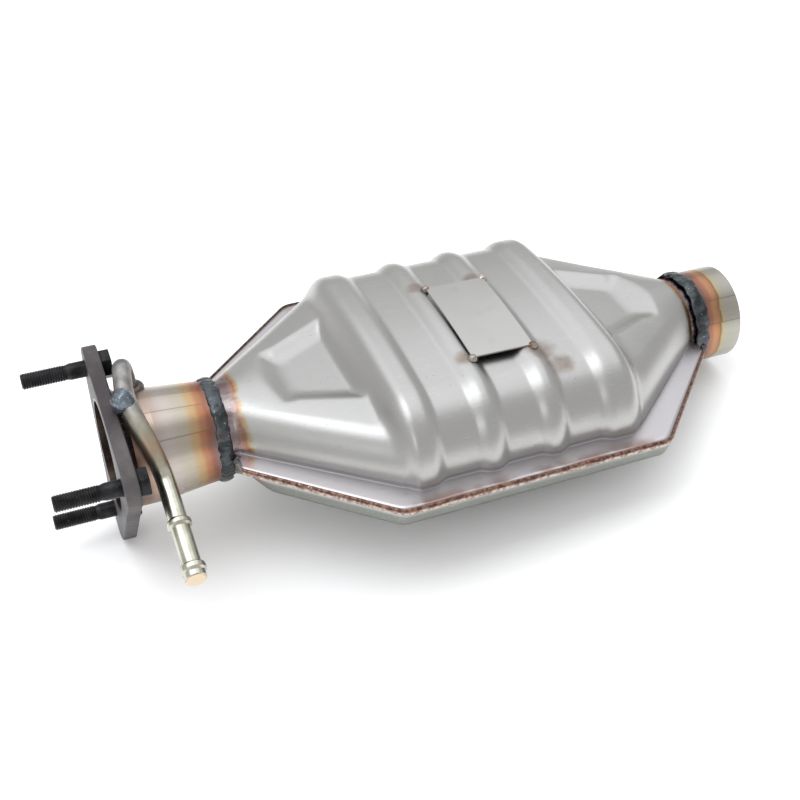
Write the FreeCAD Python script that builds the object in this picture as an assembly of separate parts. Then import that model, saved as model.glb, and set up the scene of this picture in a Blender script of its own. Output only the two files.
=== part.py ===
import FreeCAD, Part
import math
import os

from FreeCAD import Vector

# Catalytic converter with a two-piece pressed shell, a flanged inlet pipe, a plain
# outlet pipe and a gas sampling tube.
# Frame: X runs along the gas path from the inlet flange's sealing face (x = 0) to the
# outlet, Z is up, and the two half shells meet on the plane z = 0.

# ---- driving dimensions, millimetres and degrees ----
sheet = 1.5                    # shell sheet thickness

# stations along the gas path
inlet_neck_x = 57.0            # inlet end of the seam flange
inlet_corner_x = 118.5         # seam flange corner, inlet side
outlet_corner_x = 258.8        # seam flange corner, outlet side
outlet_neck_x = 315.5          # outlet end of the seam flange
outlet_end_x = 344.0           # rim of the outlet pipe
body_start_x = 127.0           # top edges of the chamber's end walls
body_end_x = 248.7

# chamber section: side walls, corner arcs and a slightly crowned top
body_half_width = 78.0
body_half_height = 37.0
body_corner_r = 33.0
body_crown_r = 497.0

# section at the wide end of each cone
cone_half_width = 76.0
cone_half_height = 29.5
cone_corner_r = 23.0
cone_crown_r = 330.0

# end walls, which slope down from the chamber's top into the cones and their pockets
end_slope = 1.48               # fall for each mm outwards
end_drop = 15.0
cone_end_gap = 3.0             # from a cone's wide end to the top edge of the end wall

# ribs over the chamber
rib_height = 3.0
rib_bar_r = 8.5
rib_count = 4
rib_pitch = 32.8
rib_middle_x = 187.2
crown_spans = 6                # faces of a rib across the crown

# pocket pressed into the top of each cone
pocket_start = 34.0            # from the neck to the narrow end of the floor
pocket_narrow_half = 13.5
pocket_wide_half = 29.0
pocket_narrow_floor_z = 20.8
pocket_wide_floor_z = 23.6
pocket_flare = 2.1             # outward run of the walls for each mm of rise
pocket_narrow_flare = 0.6      # share of that run at the narrow end's corners
pocket_cut_rise = 16.0         # rise of the cutting form above the floor
pocket_end = 68.5              # from the neck to the wide end of the floor
slant_allowance = 1.05         # keeps the sheet's thickness under a sloping floor

# seam flange
seam_half_width = 90.5
inlet_seam_half = 35.0
outlet_seam_half = 32.5
seam_corner_r = 9.0
seam_bead_width = 1.4
seam_bead_lip = 0.25           # how far the bead stands above the two sheets

# pipes and necks
pipe_r = 25.4
pipe_wall = 1.6
flange_pipe_r = 28.2           # inlet pipe radius at the flange
taper_start_x = 22.0
taper_end_x = 48.0
neck_insert = 9.0              # length of shell neck inside each pipe
neck_fit = 0.1                 # radial clearance of the neck in the pipe
neck_straight = 2.0            # round neck past the end of the seam flange
neck_crown_angle = 62.0        # from the seam to the start of the neck's top arc
cut_overrun = 1.0              # how far a hollow runs past the mouth it opens
inlet_pipe_end_x = 54.5
outlet_pipe_start_x = 319.5
ring_weld_length = 6.5
ring_weld_rise = 1.9
ring_weld_bite = 0.3           # how deep the bead has melted into the pipe
ring_weld_shape = [(-1.0, 0.0), (-0.7, 0.75), (-0.1, 1.0), (0.55, 0.74), (0.95, -0.1)]
                               # shares of half the length and of the rise

# inlet flange and its bolts
flange_thickness = 7.0
bolt_circle_r = 43.8
first_bolt_angle = 48.0        # from +Z towards +Y
lobe_radii = (10.5, 17.0, 10.5)  # the flange's lobes, from the first bolt round
flange_bore_clearance = 0.1
flange_edge_round = 0.8
bolt_shank_r = 4.15
bolt_thread_r = 3.95
bolt_hole_clearance = 0.25
bolt_length = 38.0
bolt_thread_length = 20.0      # threaded stretch at the bolt's end
bolt_head_af = 13.0
bolt_head_height = 5.3
bolt_head_turn = 12.0
bolt_head_cone = (1.35, 0.475)  # chamfering cone: share of the corner radius and of the flats
bolt_end_chamfer = 1.0
flange_weld_size = 3.4
flange_weld_shape = (0.5, 0.6)  # the fillet's middle, as shares of its size

# gas sampling tube
tube_r = 4.5
tube_bore_r = 3.2
tube_bend_r = 30.0             # where the runs leave room for it
tube_pipe_gap = 0.9            # between the tube's route and the inlet pipe
tube_flange_gap = 0.3
tube_collar_r = 5.7
tube_collar_width = 2.6
tube_end_collar_width = 6.0
tube_end_lip = 1.2             # plain tube beyond the end collar
tube_collar_gap = 30.5         # from the open end to the upper collar
tube_plug_length = 7.0
tube_weld_r = 2.2
tube_weld_spread = 0.77        # how far the bead's centre line stands out from the tube
tube_weld_lift = 0.6           # and above the pipe
tap_length = 12.0              # straight stretch of bore that taps the pipe
tap_back = 4.0                 # part of it inside the pipe
tack_radii = (5.2, 6.4, 6.8)
tack_offset = (-0.9, -1.0, -1.8)   # from the tube's route to the blob's centre

# ceramic brick, support mat and end seals
brick_start_x = 129.0
brick_end_x = 247.0
mat_thickness = 4.0
seal_width = 5.0

# data plate
plate_width = 32.2
plate_length = 62.8
plate_thickness = 0.8
plate_seat_gap = 0.05
plate_centre = (190.6, -8.7)
plate_turn = -1.6
plate_corner_r = 1.5
plate_tack_r = 2.6
plate_tack_drop = 0.6          # how far a tack's centre lies under the rib's crest

# ---- values that follow from them ----
neck_r = pipe_r - pipe_wall - neck_fit
flange_pipe_bore_r = flange_pipe_r - pipe_wall
crest_r = body_crown_r + rib_height
bar_depth = rib_bar_r - rib_height
x_axis = Vector(1, 0, 0)
z_axis = Vector(0, 0, 1)


def solid_of(shape):
    """The one solid that a boolean is meant to leave."""
    solids = shape.Solids
    if len(solids) != 1:
        raise ValueError("expected one solid, got %d" % len(solids))
    return solids[0]


def tube(radius, start_x, end_x):
    return Part.makeCylinder(radius, end_x - start_x, Vector(start_x, 0, 0), x_axis)


def turned(points):
    """A solid of revolution about the gas path, from (x, radius) points."""
    outline = [Vector(x, 0, radius) for x, radius in points]
    face = Part.Face(Part.makePolygon(outline + outline[:1]))
    return face.revolve(Vector(0, 0, 0), x_axis, 360)


def save(name, *solids):
    shape = solids[0] if len(solids) == 1 else Part.makeCompound(list(solids))
    shape.exportStep("parts/%s.step" % name)
    print("%-20s %d solid(s) %9.1f mm3 valid %s"
          % (name, len(solids), shape.Volume, shape.isValid()))


# ---- section of the shell ----
class Section:
    """Side walls, two corner arcs and a crowned top, symmetric about y = 0."""

    def __init__(self, half_width, half_height, corner_r, crown_r):
        self.half_width = half_width
        self.corner_r = corner_r
        self.crown_r = crown_r
        self.crown_z = half_height - crown_r
        self.corner_y = half_width - corner_r
        reach = crown_r - corner_r
        self.corner_z = self.crown_z + math.sqrt(reach ** 2 - self.corner_y ** 2)
        self.crown_angle = math.asin(self.corner_y / reach)

    def inset(self, depth):
        return Section(self.half_width - depth, self.crown_z + self.crown_r - depth,
                       self.corner_r - depth, self.crown_r - depth)

    def side_points(self):
        """Ends and middles of the arcs from the side wall's foot to the top."""
        lean = self.crown_angle
        join = (self.crown_r * math.sin(lean), self.crown_z + self.crown_r * math.cos(lean))
        middle = (math.pi / 2 + lean) / 2
        corner = (self.corner_y + self.corner_r * math.sin(middle),
                  self.corner_z + self.corner_r * math.cos(middle))
        return (self.half_width, 0), (self.half_width, self.corner_z), corner, join

    def upper_edges(self, x):
        foot, wall_top, corner, join = self.side_points()

        def at(point, side):
            return Vector(x, side * point[0], point[1])

        top = Vector(x, 0, self.crown_z + self.crown_r)
        return [Part.LineSegment(at(foot, 1), at(wall_top, 1)).toShape(),
                Part.Arc(at(wall_top, 1), at(corner, 1), at(join, 1)).toShape(),
                Part.Arc(at(join, 1), top, at(join, -1)).toShape(),
                Part.Arc(at(join, -1), at(corner, -1), at(wall_top, -1)).toShape(),
                Part.LineSegment(at(wall_top, -1), at(foot, -1)).toShape()]

    def upper_wire(self, x):
        foot = Vector(x, self.half_width, 0)
        edges = self.upper_edges(x)
        edges.append(Part.LineSegment(Vector(x, -self.half_width, 0), foot).toShape())
        return Part.Wire(edges)

    def full_block(self, start_x, end_x):
        """The closed section, both halves, extruded along X."""
        upper = Part.Face(self.upper_wire(start_x)).extrude(x_axis * (end_x - start_x))
        return solid_of(upper.fuse(mirrored(upper)))


def mirrored(shape):
    return shape.mirror(Vector(0, 0, 0), z_axis)


def neck_wire(x, radius, section):
    """A half circle in five arcs, divided as the section is."""
    wall = math.atan2(section.corner_z, section.half_width)
    crown = math.radians(neck_crown_angle)
    stops = [0, wall, crown, math.pi - crown, math.pi - wall, math.pi]

    def at(angle):
        return Vector(x, radius * math.cos(angle), radius * math.sin(angle))

    edges = [Part.Arc(at(a), at((a + b) / 2), at(b)).toShape()
             for a, b in zip(stops, stops[1:])]
    edges.append(Part.LineSegment(at(math.pi), at(0)).toShape())
    return Part.Wire(edges)


def bar_along(section, x, radius, depth):
    """A round bar bent round the section, its centre at a depth under the surface."""
    centre = Vector(x, -(section.half_width - depth), 0)
    disc = Part.Face(Part.Wire(Part.makeCircle(radius, centre, z_axis)))
    wall = disc.extrude(Vector(0, 0, section.corner_z))
    raised = disc.translated(Vector(0, 0, section.corner_z))
    corner_turn = 90 - math.degrees(section.crown_angle)
    corner_centre = Vector(x, -section.corner_y, section.corner_z)
    corner = raised.revolve(corner_centre, -x_axis, corner_turn)
    raised.rotate(corner_centre, -x_axis, corner_turn)
    crown_centre = Vector(x, 0, section.crown_z)
    crown_step = 2 * math.degrees(section.crown_angle) / crown_spans
    crown = []
    for _ in range(crown_spans):
        crown.append(raised.revolve(crown_centre, -x_axis, crown_step))
        raised.rotate(crown_centre, -x_axis, crown_step)
    near = wall.fuse(corner)
    far = near.mirror(Vector(0, 0, 0), Vector(0, 1, 0))
    return near.fuse(crown + [far])


# ---- pressed half shells ----
body_section = Section(body_half_width, body_half_height, body_corner_r, body_crown_r)
cone_section = Section(cone_half_width, cone_half_height, cone_corner_r, cone_crown_r)


def pocket_block(neck_x, direction, grow):
    """The space of a pocket: a trapezium floor with flared walls, grown by a depth."""
    drop = grow * slant_allowance
    start = pocket_start - grow
    length = pocket_end - pocket_start + grow
    slope = (pocket_wide_floor_z - pocket_narrow_floor_z) / length

    def outline(lift):
        spread = lift * pocket_flare
        near_x = neck_x + direction * (start - spread)
        far_x = neck_x + direction * (start + length)
        narrow = pocket_narrow_half + grow + spread * pocket_narrow_flare
        wide = pocket_wide_half + grow + spread
        narrow_z = pocket_narrow_floor_z - drop + lift
        wide_z = narrow_z + slope * length
        return Part.makePolygon([Vector(near_x, -narrow, narrow_z), Vector(far_x, -wide, wide_z),
                                 Vector(far_x, wide, wide_z), Vector(near_x, narrow, narrow_z),
                                 Vector(near_x, -narrow, narrow_z)])

    return Part.makeLoft([outline(0), outline(pocket_cut_rise)], True, True)


def cone_block(neck_x, mouth_x, wide_x, depth):
    """One cone from the pipe end of its neck to the chamber, with its pocket left out."""
    direction = 1 if wide_x > neck_x else -1
    section = cone_section.inset(depth)
    radius = neck_r - depth
    cone_x = neck_x + direction * neck_straight
    start = neck_wire(cone_x, radius, section)
    loft = Part.makeLoft([start, section.upper_wire(wide_x)], True, True)
    neck = Part.Face(neck_wire(mouth_x, radius, section))
    neck = neck.extrude(x_axis * (cone_x - mouth_x))
    return loft.cut(pocket_block(neck_x, direction, depth)).fuse(neck)


def end_block(top_x, direction, depth):
    """A sloping end wall: the section shrinks evenly as it leaves the chamber."""
    shift = depth * math.tan(math.atan(end_slope) / 2)
    near_x = top_x - direction * shift
    far_x = near_x + direction * end_drop / end_slope
    near = body_section.inset(depth).upper_wire(near_x)
    far = body_section.inset(depth + end_drop).upper_wire(far_x)
    return Part.makeLoft([near, far], True, True)


def upper_form(depth):
    """The raised form of the upper half, or its hollow when a depth is given."""
    section = body_section.inset(depth)
    length = body_end_x - body_start_x
    body = Part.Face(section.upper_wire(body_start_x)).extrude(x_axis * length)
    first = rib_middle_x - rib_pitch * (rib_count - 1) / 2
    bars = [bar_along(section, first + rib_pitch * i, rib_bar_r - depth, bar_depth)
            for i in range(rib_count)]
    ends = [end_block(body_start_x, -1, depth), end_block(body_end_x, 1, depth)]
    form = body.fuse(bars + ends)
    overrun = cut_overrun if depth else 0
    inlet_mouth_x = inlet_pipe_end_x - neck_insert - overrun
    outlet_mouth_x = outlet_pipe_start_x + neck_insert + overrun
    inlet_cone = cone_block(inlet_neck_x, inlet_mouth_x, body_start_x - cone_end_gap, depth)
    outlet_cone = cone_block(outlet_neck_x, outlet_mouth_x, body_end_x + cone_end_gap, depth)
    return form.fuse([inlet_cone, outlet_cone])


def seam_outline(grow):
    """The seam flange's outline face on z = 0, grown outwards."""
    half = seam_half_width
    near = [Vector(inlet_neck_x, -inlet_seam_half, 0), Vector(inlet_corner_x, -half, 0),
            Vector(outlet_corner_x, -half, 0), Vector(outlet_neck_x, -outlet_seam_half, 0)]
    far = [Vector(p.x, -p.y, 0) for p in reversed(near)]
    face = Part.Face(Part.makePolygon(near + far + [near[0]]))
    block = face.extrude(z_axis)
    corners = [e for e in block.Edges if abs(e.tangentAt(e.FirstParameter).z) > 0.99
               and abs(abs(e.CenterOfMass.y) - half) < 1]
    block = block.makeFillet(seam_corner_r, corners)
    flat = [f for f in block.Faces if abs(f.CenterOfMass.z) < 1e-6 and f.Area > 1000][0]
    if grow:
        flat = flat.makeOffset2D(grow)
    return Part.Face(flat.OuterWire)


def make_upper_shell():
    outer = upper_form(0)
    hollow = upper_form(sheet)
    flange = seam_outline(0).extrude(z_axis * sheet)
    return solid_of(outer.fuse(flange).cut(hollow))


def make_seam_weld(side):
    """The edge bead that closes the two flanges along one side."""
    height = sheet + seam_bead_lip
    ring = seam_outline(seam_bead_width).extrude(z_axis * 2 * height)
    ring = ring.cut(seam_outline(0).extrude(z_axis * 2 * height))
    ring = ring.translated(Vector(0, 0, -height))
    length = outlet_neck_x - inlet_neck_x
    half = Part.makeBox(length, 2 * seam_half_width, 2 * height,
                        Vector(inlet_neck_x, 0 if side > 0 else -2 * seam_half_width, -height))
    bead = solid_of(ring.common(half))
    outline = seam_outline(0)
    rims = [e for e in bead.Edges if abs(abs(e.CenterOfMass.z) - height) < 0.01
            and e.Length > 2 * seam_bead_width]
    outer = [e for e in rims if distance_out(e, outline) > seam_bead_width * 0.9]
    return bead.makeFillet(min(seam_bead_width, height) * 0.8, outer)


def distance_out(edge, outline):
    """How far outside an outline on z = 0 the middle of an edge lies."""
    middle = edge.valueAt((edge.FirstParameter + edge.LastParameter) / 2)
    return outline.distToShape(Part.Vertex(middle.x, middle.y, 0))[0]


# ---- pipes ----
def inlet_pipe_profile(inset):
    return [(0, flange_pipe_r - inset), (taper_start_x, flange_pipe_r - inset),
            (taper_end_x, pipe_r - inset), (inlet_pipe_end_x, pipe_r - inset)]


def inlet_pipe_outer():
    points = inlet_pipe_profile(0)
    return turned([(0, 0)] + points + [(inlet_pipe_end_x, 0)])


def make_inlet_pipe():
    points = inlet_pipe_profile(0) + inlet_pipe_profile(pipe_wall)[::-1]
    pipe = turned(points).cut(ring_bead(inlet_pipe_end_x, 1))
    return solid_of(pipe.cut(tap_bar(tube_bore_r)))


def make_outlet_pipe():
    pipe = tube(pipe_r, outlet_pipe_start_x, outlet_end_x)
    bore = tube(pipe_r - pipe_wall, outlet_pipe_start_x, outlet_end_x)
    return solid_of(pipe.cut([bore, ring_bead(outlet_pipe_start_x, -1)]))


def ring_bead(pipe_end_x, direction):
    """The bead between a pipe's end and the shell neck that enters it."""
    half = ring_weld_length / 2
    root_r = pipe_r - ring_weld_bite
    points = [(half * along, pipe_r + ring_weld_rise * out) for along, out in ring_weld_shape]
    points += [(half, neck_r), (0, neck_r), (0, root_r), (-half, root_r)]
    return turned([(pipe_end_x + direction * x, r) for x, r in points])


def make_ring_weld(pipe_end_x, direction):
    bead = ring_bead(pipe_end_x, direction)
    flanges = seam_outline(0).extrude(z_axis * 2 * sheet).translated(z_axis * -sheet)
    return solid_of(bead.cut(flanges))


# ---- inlet flange ----
def bolt_places(x):
    places = []
    for i in range(len(lobe_radii)):
        angle = math.radians(first_bolt_angle + 360.0 * i / len(lobe_radii))
        places.append(Vector(x, bolt_circle_r * math.sin(angle), bolt_circle_r * math.cos(angle)))
    return places


def side_normal(start, start_r, end, end_r):
    """Square to the straight side that touches two lobes on the outside."""
    along = (end - start).normalize()
    outward = along.cross(x_axis)
    if outward.dot(start + end) < 0:
        outward = outward * -1
    lean = (start_r - end_r) / (end - start).Length
    return along * lean + outward * math.sqrt(1 - lean ** 2)


def make_flange():
    """A rounded triangle: straight sides that run from lobe to lobe."""
    centres = bolt_places(0)
    count = len(centres)
    normals = [side_normal(centres[i], lobe_radii[i], centres[(i + 1) % count],
                           lobe_radii[(i + 1) % count]) for i in range(count)]
    edges = []
    for i in range(count):
        here, radius = centres[i], lobe_radii[i]
        after, after_r = centres[(i + 1) % count], lobe_radii[(i + 1) % count]
        tip = Vector(here.x, here.y, here.z).normalize() * radius
        leaving = here + normals[i] * radius
        edges.append(Part.Arc(here + normals[i - 1] * radius, here + tip, leaving).toShape())
        edges.append(Part.LineSegment(leaving, after + normals[i] * after_r).toShape())
    plate = Part.Face(Part.Wire(edges)).extrude(x_axis * flange_thickness)
    rims = [e for e in plate.Edges if abs(e.BoundBox.XMax - e.BoundBox.XMin) < 1e-6]
    plate = plate.makeFillet(flange_edge_round, rims)
    plate = plate.cut(tube(flange_pipe_r + flange_bore_clearance, 0, flange_thickness))
    for place in bolt_places(0):
        hole = Part.makeCylinder(bolt_shank_r + bolt_hole_clearance, flange_thickness,
                                 place, x_axis)
        plate = plate.cut(hole)
    return solid_of(plate)


def make_flange_weld():
    root_x = flange_thickness
    size = flange_weld_size
    along, out = flange_weld_shape
    return solid_of(turned([(root_x, flange_pipe_r), (root_x, flange_pipe_r + size),
                            (root_x + size * along, flange_pipe_r + size * out),
                            (root_x + size, flange_pipe_r)]))


def make_bolt(place):
    head_r = bolt_head_af / math.sqrt(3)
    corners = []
    for i in range(7):
        angle = math.radians(60 * i + bolt_head_turn)
        corners.append(place + Vector(0, head_r * math.cos(angle), head_r * math.sin(angle)))
    head = Part.Face(Part.makePolygon(corners)).extrude(x_axis * bolt_head_height)
    base_share, top_share = bolt_head_cone
    dome = Part.makeCone(head_r * base_share, bolt_head_af * top_share, bolt_head_height,
                         place, x_axis)
    head = head.common(dome)
    shank_length = bolt_length - bolt_thread_length
    shank = Part.makeCylinder(bolt_shank_r, shank_length, place, -x_axis)
    thread_start = place - x_axis * shank_length
    thread = Part.makeCylinder(bolt_thread_r, bolt_thread_length - bolt_end_chamfer,
                               thread_start, -x_axis)
    end = Part.makeCone(bolt_thread_r, bolt_thread_r - bolt_end_chamfer, bolt_end_chamfer,
                        place - x_axis * (bolt_length - bolt_end_chamfer), -x_axis)
    return solid_of(head.fuse([shank, thread, end]).removeSplitter())


# ---- gas sampling tube ----
def hug(x, angle):
    """A point of the route where the tube lies close along the inlet pipe."""
    reach = flange_pipe_r + tube_r + tube_pipe_gap
    turn = math.radians(angle)
    return Vector(x, -reach * math.sin(turn), reach * math.cos(turn))


tack_x = flange_thickness + tube_r + tube_flange_gap
tube_route = [Vector(17.0, 13.5, 22.0), Vector(15.2, 17.0, 41.5), Vector(tack_x, -4.8, 35.2),
              hug(14.2, 31), hug(17.9, 55), hug(20.7, 78), hug(22.4, 99),
              Vector(26.8, -46.0, -53.2)]


def rounded_path(points):
    """Straight runs joined by tangent arcs, each as large as its two runs allow."""
    edges = []
    start = points[0]
    for before, here, after in zip(points, points[1:], points[2:]):
        back = (before - here).normalize()
        ahead = (after - here).normalize()
        half = back.getAngle(ahead) / 2
        room = 0.45 * min((before - here).Length, (after - here).Length)
        setback = min(tube_bend_r / math.tan(half), room)
        radius = setback * math.tan(half)
        bisector = (back + ahead).normalize()
        middle = here + bisector * (radius / math.sin(half) - radius)
        first = here + back * setback
        last = here + ahead * setback
        edges.append(Part.LineSegment(start, first).toShape())
        edges.append(Part.Arc(first, middle, last).toShape())
        start = last
    edges.append(Part.LineSegment(start, points[-1]).toShape())
    return Part.Wire(edges)


def tap_heading():
    return (tube_route[1] - tube_route[0]).normalize()


def tap_bar(radius):
    """A bar along the tube's first run, where it taps the pipe."""
    start = tube_route[0] - tap_heading() * tap_back
    return Part.makeCylinder(radius, tap_length, start, tap_heading())


def tube_bar(radius):
    start = tube_route[0]
    heading = tap_heading()
    disc = Part.Wire(Part.makeCircle(radius, start, heading))
    return rounded_path(tube_route).makePipeShell([disc], True, False)


def tube_end(length, radius, back=0.0):
    """A cylinder that ends a distance back from the tube's open end."""
    heading = (tube_route[-2] - tube_route[-1]).normalize()
    return Part.makeCylinder(radius, length, tube_route[-1] + heading * back, heading)


def make_sampling_tube():
    body = tube_bar(tube_r)
    body = body.fuse([tube_end(tube_end_collar_width, tube_collar_r, tube_end_lip),
                      tube_end(tube_collar_width, tube_collar_r, tube_collar_gap)])
    body = body.cut(tube_bar(tube_bore_r))
    body = body.cut(inlet_pipe_outer())
    return max(body.Solids, key=lambda s: s.Volume)


def make_tube_plug():
    return tube_end(tube_plug_length, tube_bore_r)


def make_tube_weld(tube_outer, flange_weld):
    start = tube_route[0]
    heading = tap_heading()
    centre = start + heading * (saddle_height(start, heading) + tube_weld_lift)
    ring = Part.makeTorus(tube_r + tube_weld_spread, tube_weld_r, centre, heading)
    weld = ring.cut([tube_outer, inlet_pipe_outer(), flange_weld])
    return max(weld.Solids, key=lambda s: s.Volume)


def saddle_height(start, heading):
    """How far along a heading the pipe's outer surface lies."""
    a = heading.y ** 2 + heading.z ** 2
    b = start.y * heading.y + start.z * heading.z
    c = start.y ** 2 + start.z ** 2 - flange_pipe_r ** 2
    return (-b + math.sqrt(b * b - a * c)) / a


def make_tack(tube_outer, neighbours):
    """The blob of weld that holds the tube to the pipe and the flange."""
    centre = tube_route[2] + Vector(*tack_offset)
    matrix = FreeCAD.Matrix()
    matrix.scale(*tack_radii)
    blob = Part.makeSphere(1.0).transformGeometry(matrix).translated(centre)
    for part in [tube_outer, inlet_pipe_outer()] + neighbours:
        blob = blob.cut(part)
    return max(blob.Solids, key=lambda s: s.Volume)


# ---- what the shell holds ----
def make_brick():
    inside = body_section.inset(sheet + mat_thickness)
    return inside.full_block(brick_start_x, brick_end_x)


def ring_block(start_x, end_x):
    outer = body_section.inset(sheet).full_block(start_x, end_x)
    return solid_of(outer.cut(body_section.inset(sheet + mat_thickness)
                              .full_block(start_x, end_x)))


# ---- data plate ----
def make_plate():
    """A thin plate that follows the crowned crests of the two ribs it lies on."""
    x, y = plate_centre
    half = plate_length / 2
    crown_z = body_section.crown_z

    def arc(radius):
        def at(offset):
            return Vector(x - plate_width / 2, offset, crown_z
                          + math.sqrt(radius ** 2 - offset ** 2))
        return at(y - half), at(y), at(y + half)

    low = arc(crest_r + plate_seat_gap)
    high = arc(crest_r + plate_seat_gap + plate_thickness)
    outline = Part.Wire([Part.Arc(*low).toShape(),
                         Part.LineSegment(low[2], high[2]).toShape(),
                         Part.Arc(high[2], high[1], high[0]).toShape(),
                         Part.LineSegment(high[0], low[0]).toShape()])
    plate = Part.Face(outline).extrude(x_axis * plate_width)
    corner_edges = [e for e in plate.Edges if e.Length < 2 * plate_thickness]
    plate = plate.makeFillet(plate_corner_r, corner_edges)
    plate.rotate(Vector(x, y, 0), z_axis, plate_turn)
    return solid_of(plate)


def make_plate_tacks(plate, shell):
    x, y = plate_centre
    centre_z = body_section.crown_z
    tacks = []
    for side_x in (-1, 1):
        for side_y in (-1, 1):
            corner = Vector(side_x * plate_width / 2, side_y * plate_length / 2, 0)
            spin = FreeCAD.Rotation(z_axis, plate_turn)
            spot = spin.multVec(corner) + Vector(x, y, 0)
            spot.z = centre_z + math.sqrt(crest_r ** 2 - spot.y ** 2) - plate_tack_drop
            ball = Part.makeSphere(plate_tack_r, spot)
            left = ball.cut(plate).cut(shell)
            tacks.append(max(left.Solids, key=lambda s: s.Volume))
    return tacks


def main():
    os.makedirs("parts", exist_ok=True)
    upper = make_upper_shell()
    save("upper_half_shell", upper)
    save("lower_half_shell", mirrored(upper))
    save("seam_weld_near", make_seam_weld(-1))
    save("seam_weld_far", make_seam_weld(1))

    inlet_pipe = make_inlet_pipe()
    save("inlet_pipe", inlet_pipe)
    save("outlet_pipe", make_outlet_pipe())
    save("inlet_pipe_weld", make_ring_weld(inlet_pipe_end_x, 1))
    save("outlet_pipe_weld", make_ring_weld(outlet_pipe_start_x, -1))

    flange = make_flange()
    save("inlet_flange", flange)
    flange_weld = make_flange_weld()
    tube_outer = tube_bar(tube_r)
    save("flange_pipe_weld", flange_weld.cut(tube_outer).Solids[0])
    save("flange_bolts", *[make_bolt(place) for place in bolt_places(flange_thickness)])

    save("sampling_tube", make_sampling_tube())
    save("tube_end_plug", make_tube_plug())
    save("sampling_tube_weld", make_tube_weld(tube_outer, flange_weld))
    save("tube_tack_weld", make_tack(tube_outer, [flange, flange_weld]))

    save("ceramic_brick", make_brick())
    save("support_mat", ring_block(brick_start_x + seal_width, brick_end_x - seal_width))
    save("inlet_end_seal", ring_block(brick_start_x, brick_start_x + seal_width))
    save("outlet_end_seal", ring_block(brick_end_x - seal_width, brick_end_x))

    plate = make_plate()
    save("data_plate", plate)
    save("plate_tack_welds", *make_plate_tacks(plate, upper))


main()
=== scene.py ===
from math import asin, atan2, cos, pi, radians, sin, sqrt

import bmesh
import bpy
from mathutils import Matrix, Vector, noise


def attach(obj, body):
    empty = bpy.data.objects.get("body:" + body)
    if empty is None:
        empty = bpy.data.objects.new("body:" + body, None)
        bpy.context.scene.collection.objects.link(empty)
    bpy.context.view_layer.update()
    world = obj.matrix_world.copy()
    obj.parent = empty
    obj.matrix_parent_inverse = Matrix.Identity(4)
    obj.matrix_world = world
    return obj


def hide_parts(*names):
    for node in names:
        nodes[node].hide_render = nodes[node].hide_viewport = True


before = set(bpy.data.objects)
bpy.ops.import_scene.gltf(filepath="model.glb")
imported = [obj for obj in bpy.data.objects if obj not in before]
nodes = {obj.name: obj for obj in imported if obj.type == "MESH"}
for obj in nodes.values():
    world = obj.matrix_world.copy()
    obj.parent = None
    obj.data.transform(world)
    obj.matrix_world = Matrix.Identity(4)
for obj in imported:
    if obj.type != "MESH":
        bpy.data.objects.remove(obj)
scene = bpy.context.scene
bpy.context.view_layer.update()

mm = 0.001          # the sizes below are in millimetres
print("frame loaded:", len(nodes), "nodes")


def mix(a, b, share):
    return a + (b - a) * share


def clamp(value, low=0.0, high=1.0):
    return max(low, min(high, value))


def easeStep(low, high, value):
    share = clamp((value - low) / (high - low))
    return share * share * (3 - 2 * share)


def softMax(a, b, reach):   # the larger of two, with the corner rounded over reach
    gap = clamp(1 - abs(a - b) / reach)
    return max(a, b) + reach * gap * gap / 4


def softMin(a, b, reach):
    return -softMax(-a, -b, reach)


def makePiece(name, bm, replaced=()):
    mesh = bpy.data.meshes.new(name)
    bm.normal_update()
    bm.to_mesh(mesh)
    bm.free()
    piece = bpy.data.objects.new(name, mesh)
    scene.collection.objects.link(piece)
    for face in mesh.polygons:
        face.use_smooth = True
    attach(piece, "root")
    if replaced:
        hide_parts(*replaced)
    return piece


def thicken(piece, thickness, offset):   # a sheet gets its wall
    wall = piece.modifiers.new("sheet", "SOLIDIFY")
    wall.thickness = thickness * mm
    wall.offset = offset
    return piece


def addSheet(bm, columns, rows, placeOf):   # a grid moved onto a form, its meeting edges joined
    made = bmesh.ops.create_grid(bm, x_segments=columns, y_segments=rows, size=1.0)["verts"]
    for vert in made:
        vert.co = Vector(placeOf((vert.co.x + 1) / 2, (vert.co.y + 1) / 2)) * mm
    bmesh.ops.remove_doubles(bm, verts=made, dist=0.002 * mm)
    bmesh.ops.recalc_face_normals(bm, faces=bm.faces)


def tone(red, green, blue):   # a display colour, 0 to 255, as the linear one a node takes
    def linear(level):
        share = level / 255
        return share / 12.92 if share <= 0.04045 else ((share + 0.055) / 1.055) ** 2.4
    return (linear(red), linear(green), linear(blue), 1.0)


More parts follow.
